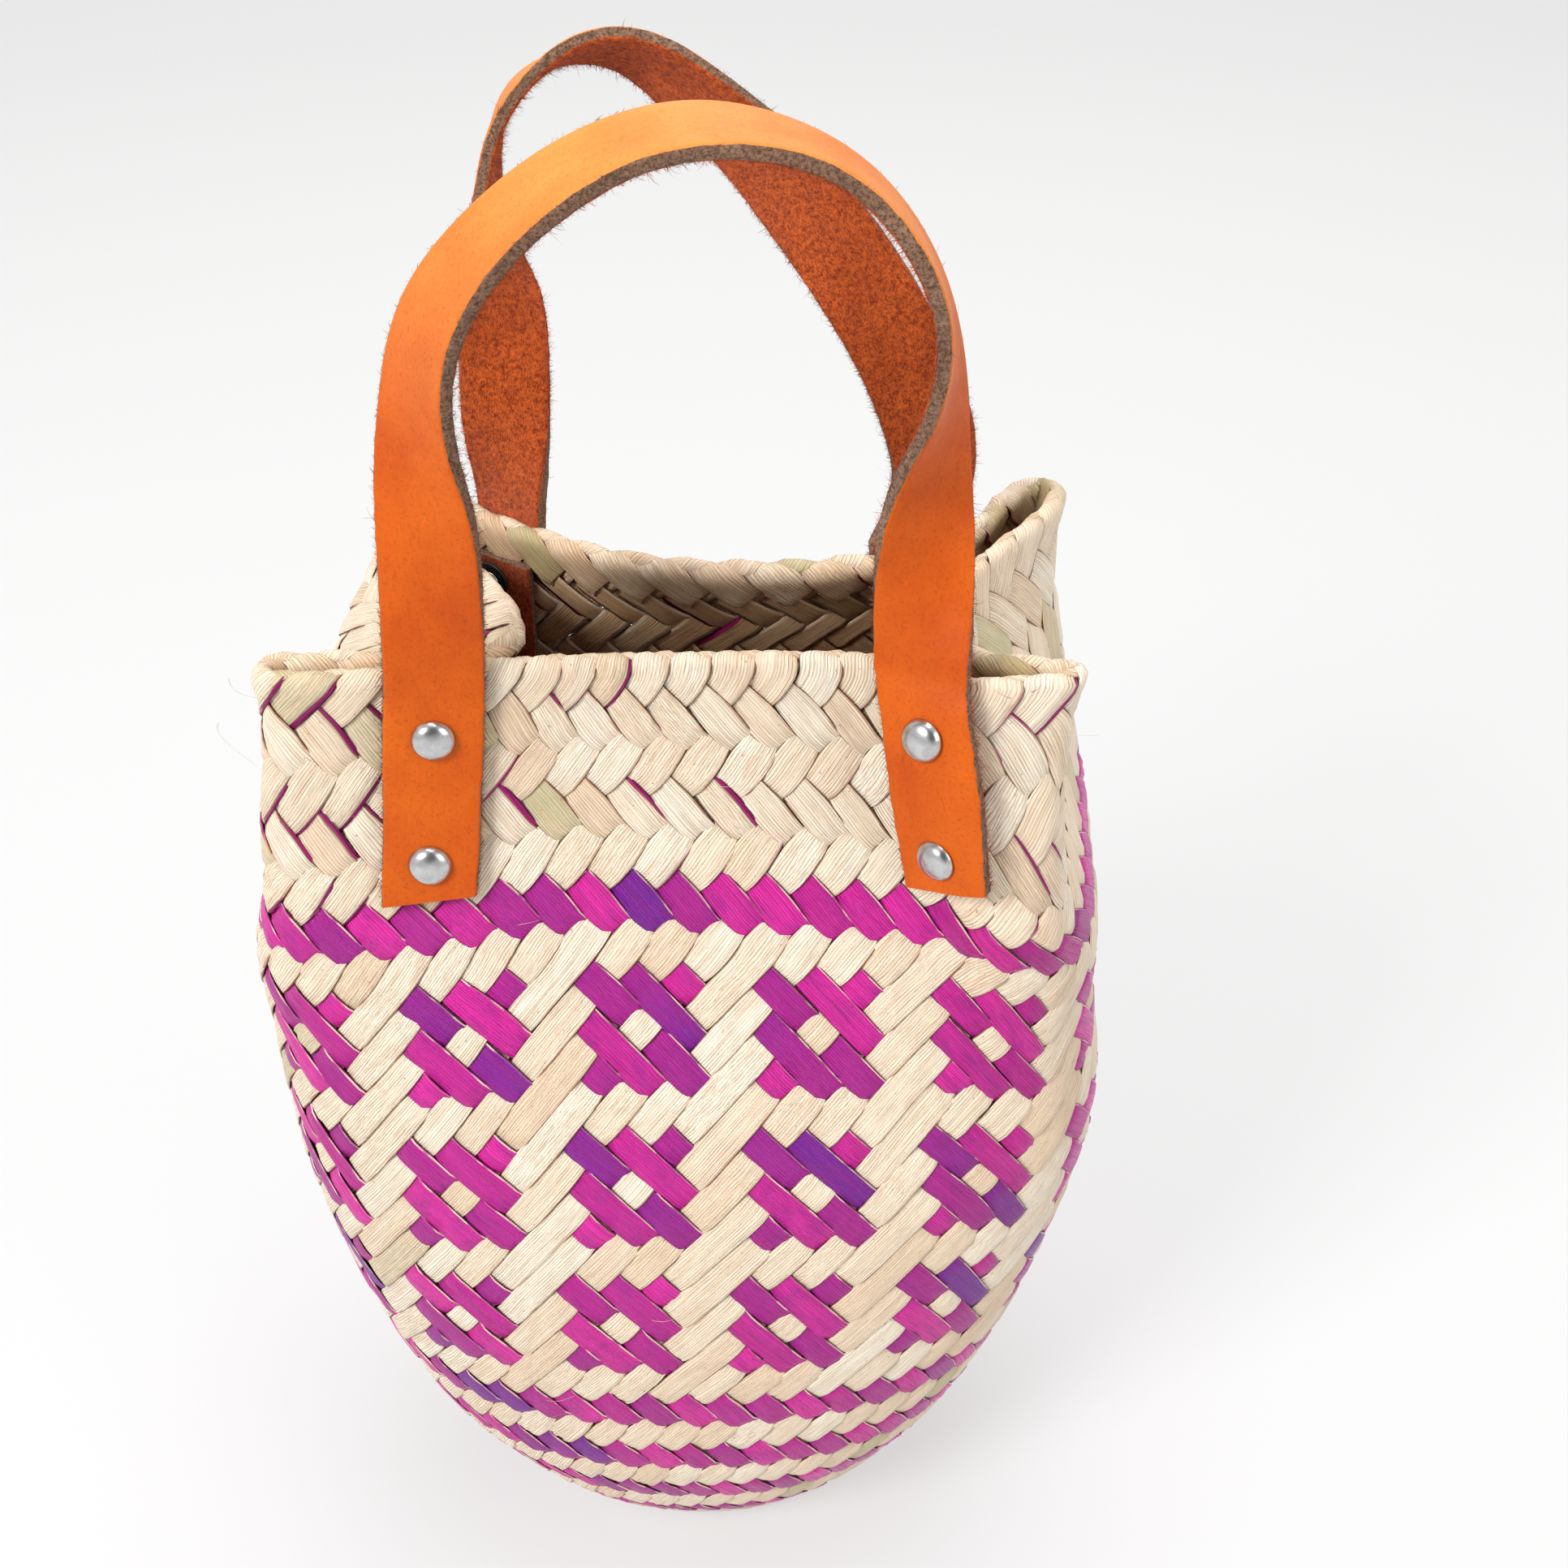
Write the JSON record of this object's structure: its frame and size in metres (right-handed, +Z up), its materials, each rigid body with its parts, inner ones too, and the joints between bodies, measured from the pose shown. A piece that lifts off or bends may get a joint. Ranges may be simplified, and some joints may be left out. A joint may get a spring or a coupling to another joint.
{
  "type": "palm leaf handbag",
  "caption": "Small woven palm leaf handbag with a pinched, folded mouth and two twisted tan leather handles riveted to the front and rear walls.",
  "frame": {"origin": "middle of the flat base, on the plane the bag rests on", "axes": "+Z up through the mouth, -Y towards the front wall, +X to the right of someone facing the front"},
  "size_m": [0.1992, 0.1416, 0.3748],
  "materials": {
    "palm": "matte",
    "leather": "satin",
    "suede": "matte",
    "nickel": "satin",
    "black": "satin"
  },
  "bodies": {
    "root": {"basket_body": "palm", "front_handle": "leather", "rear_handle": "leather", "front_left_patch": "suede", "front_left_upper_rivet": "nickel", "front_left_upper_washer": "black", "front_left_lower_rivet": "nickel", "front_left_lower_washer": "black", "front_right_patch": "suede", "front_right_upper_rivet": "nickel", "front_right_upper_washer": "black", "front_right_lower_rivet": "nickel", "front_right_lower_washer": "black", "rear_left_patch": "suede", "rear_left_upper_rivet": "nickel", "rear_left_upper_washer": "black", "rear_left_lower_rivet": "nickel", "rear_left_lower_washer": "black", "rear_right_patch": "suede", "rear_right_upper_rivet": "nickel", "rear_right_upper_washer": "black", "rear_right_lower_rivet": "nickel", "rear_right_lower_washer": "black"}
  },
  "joints": []
}
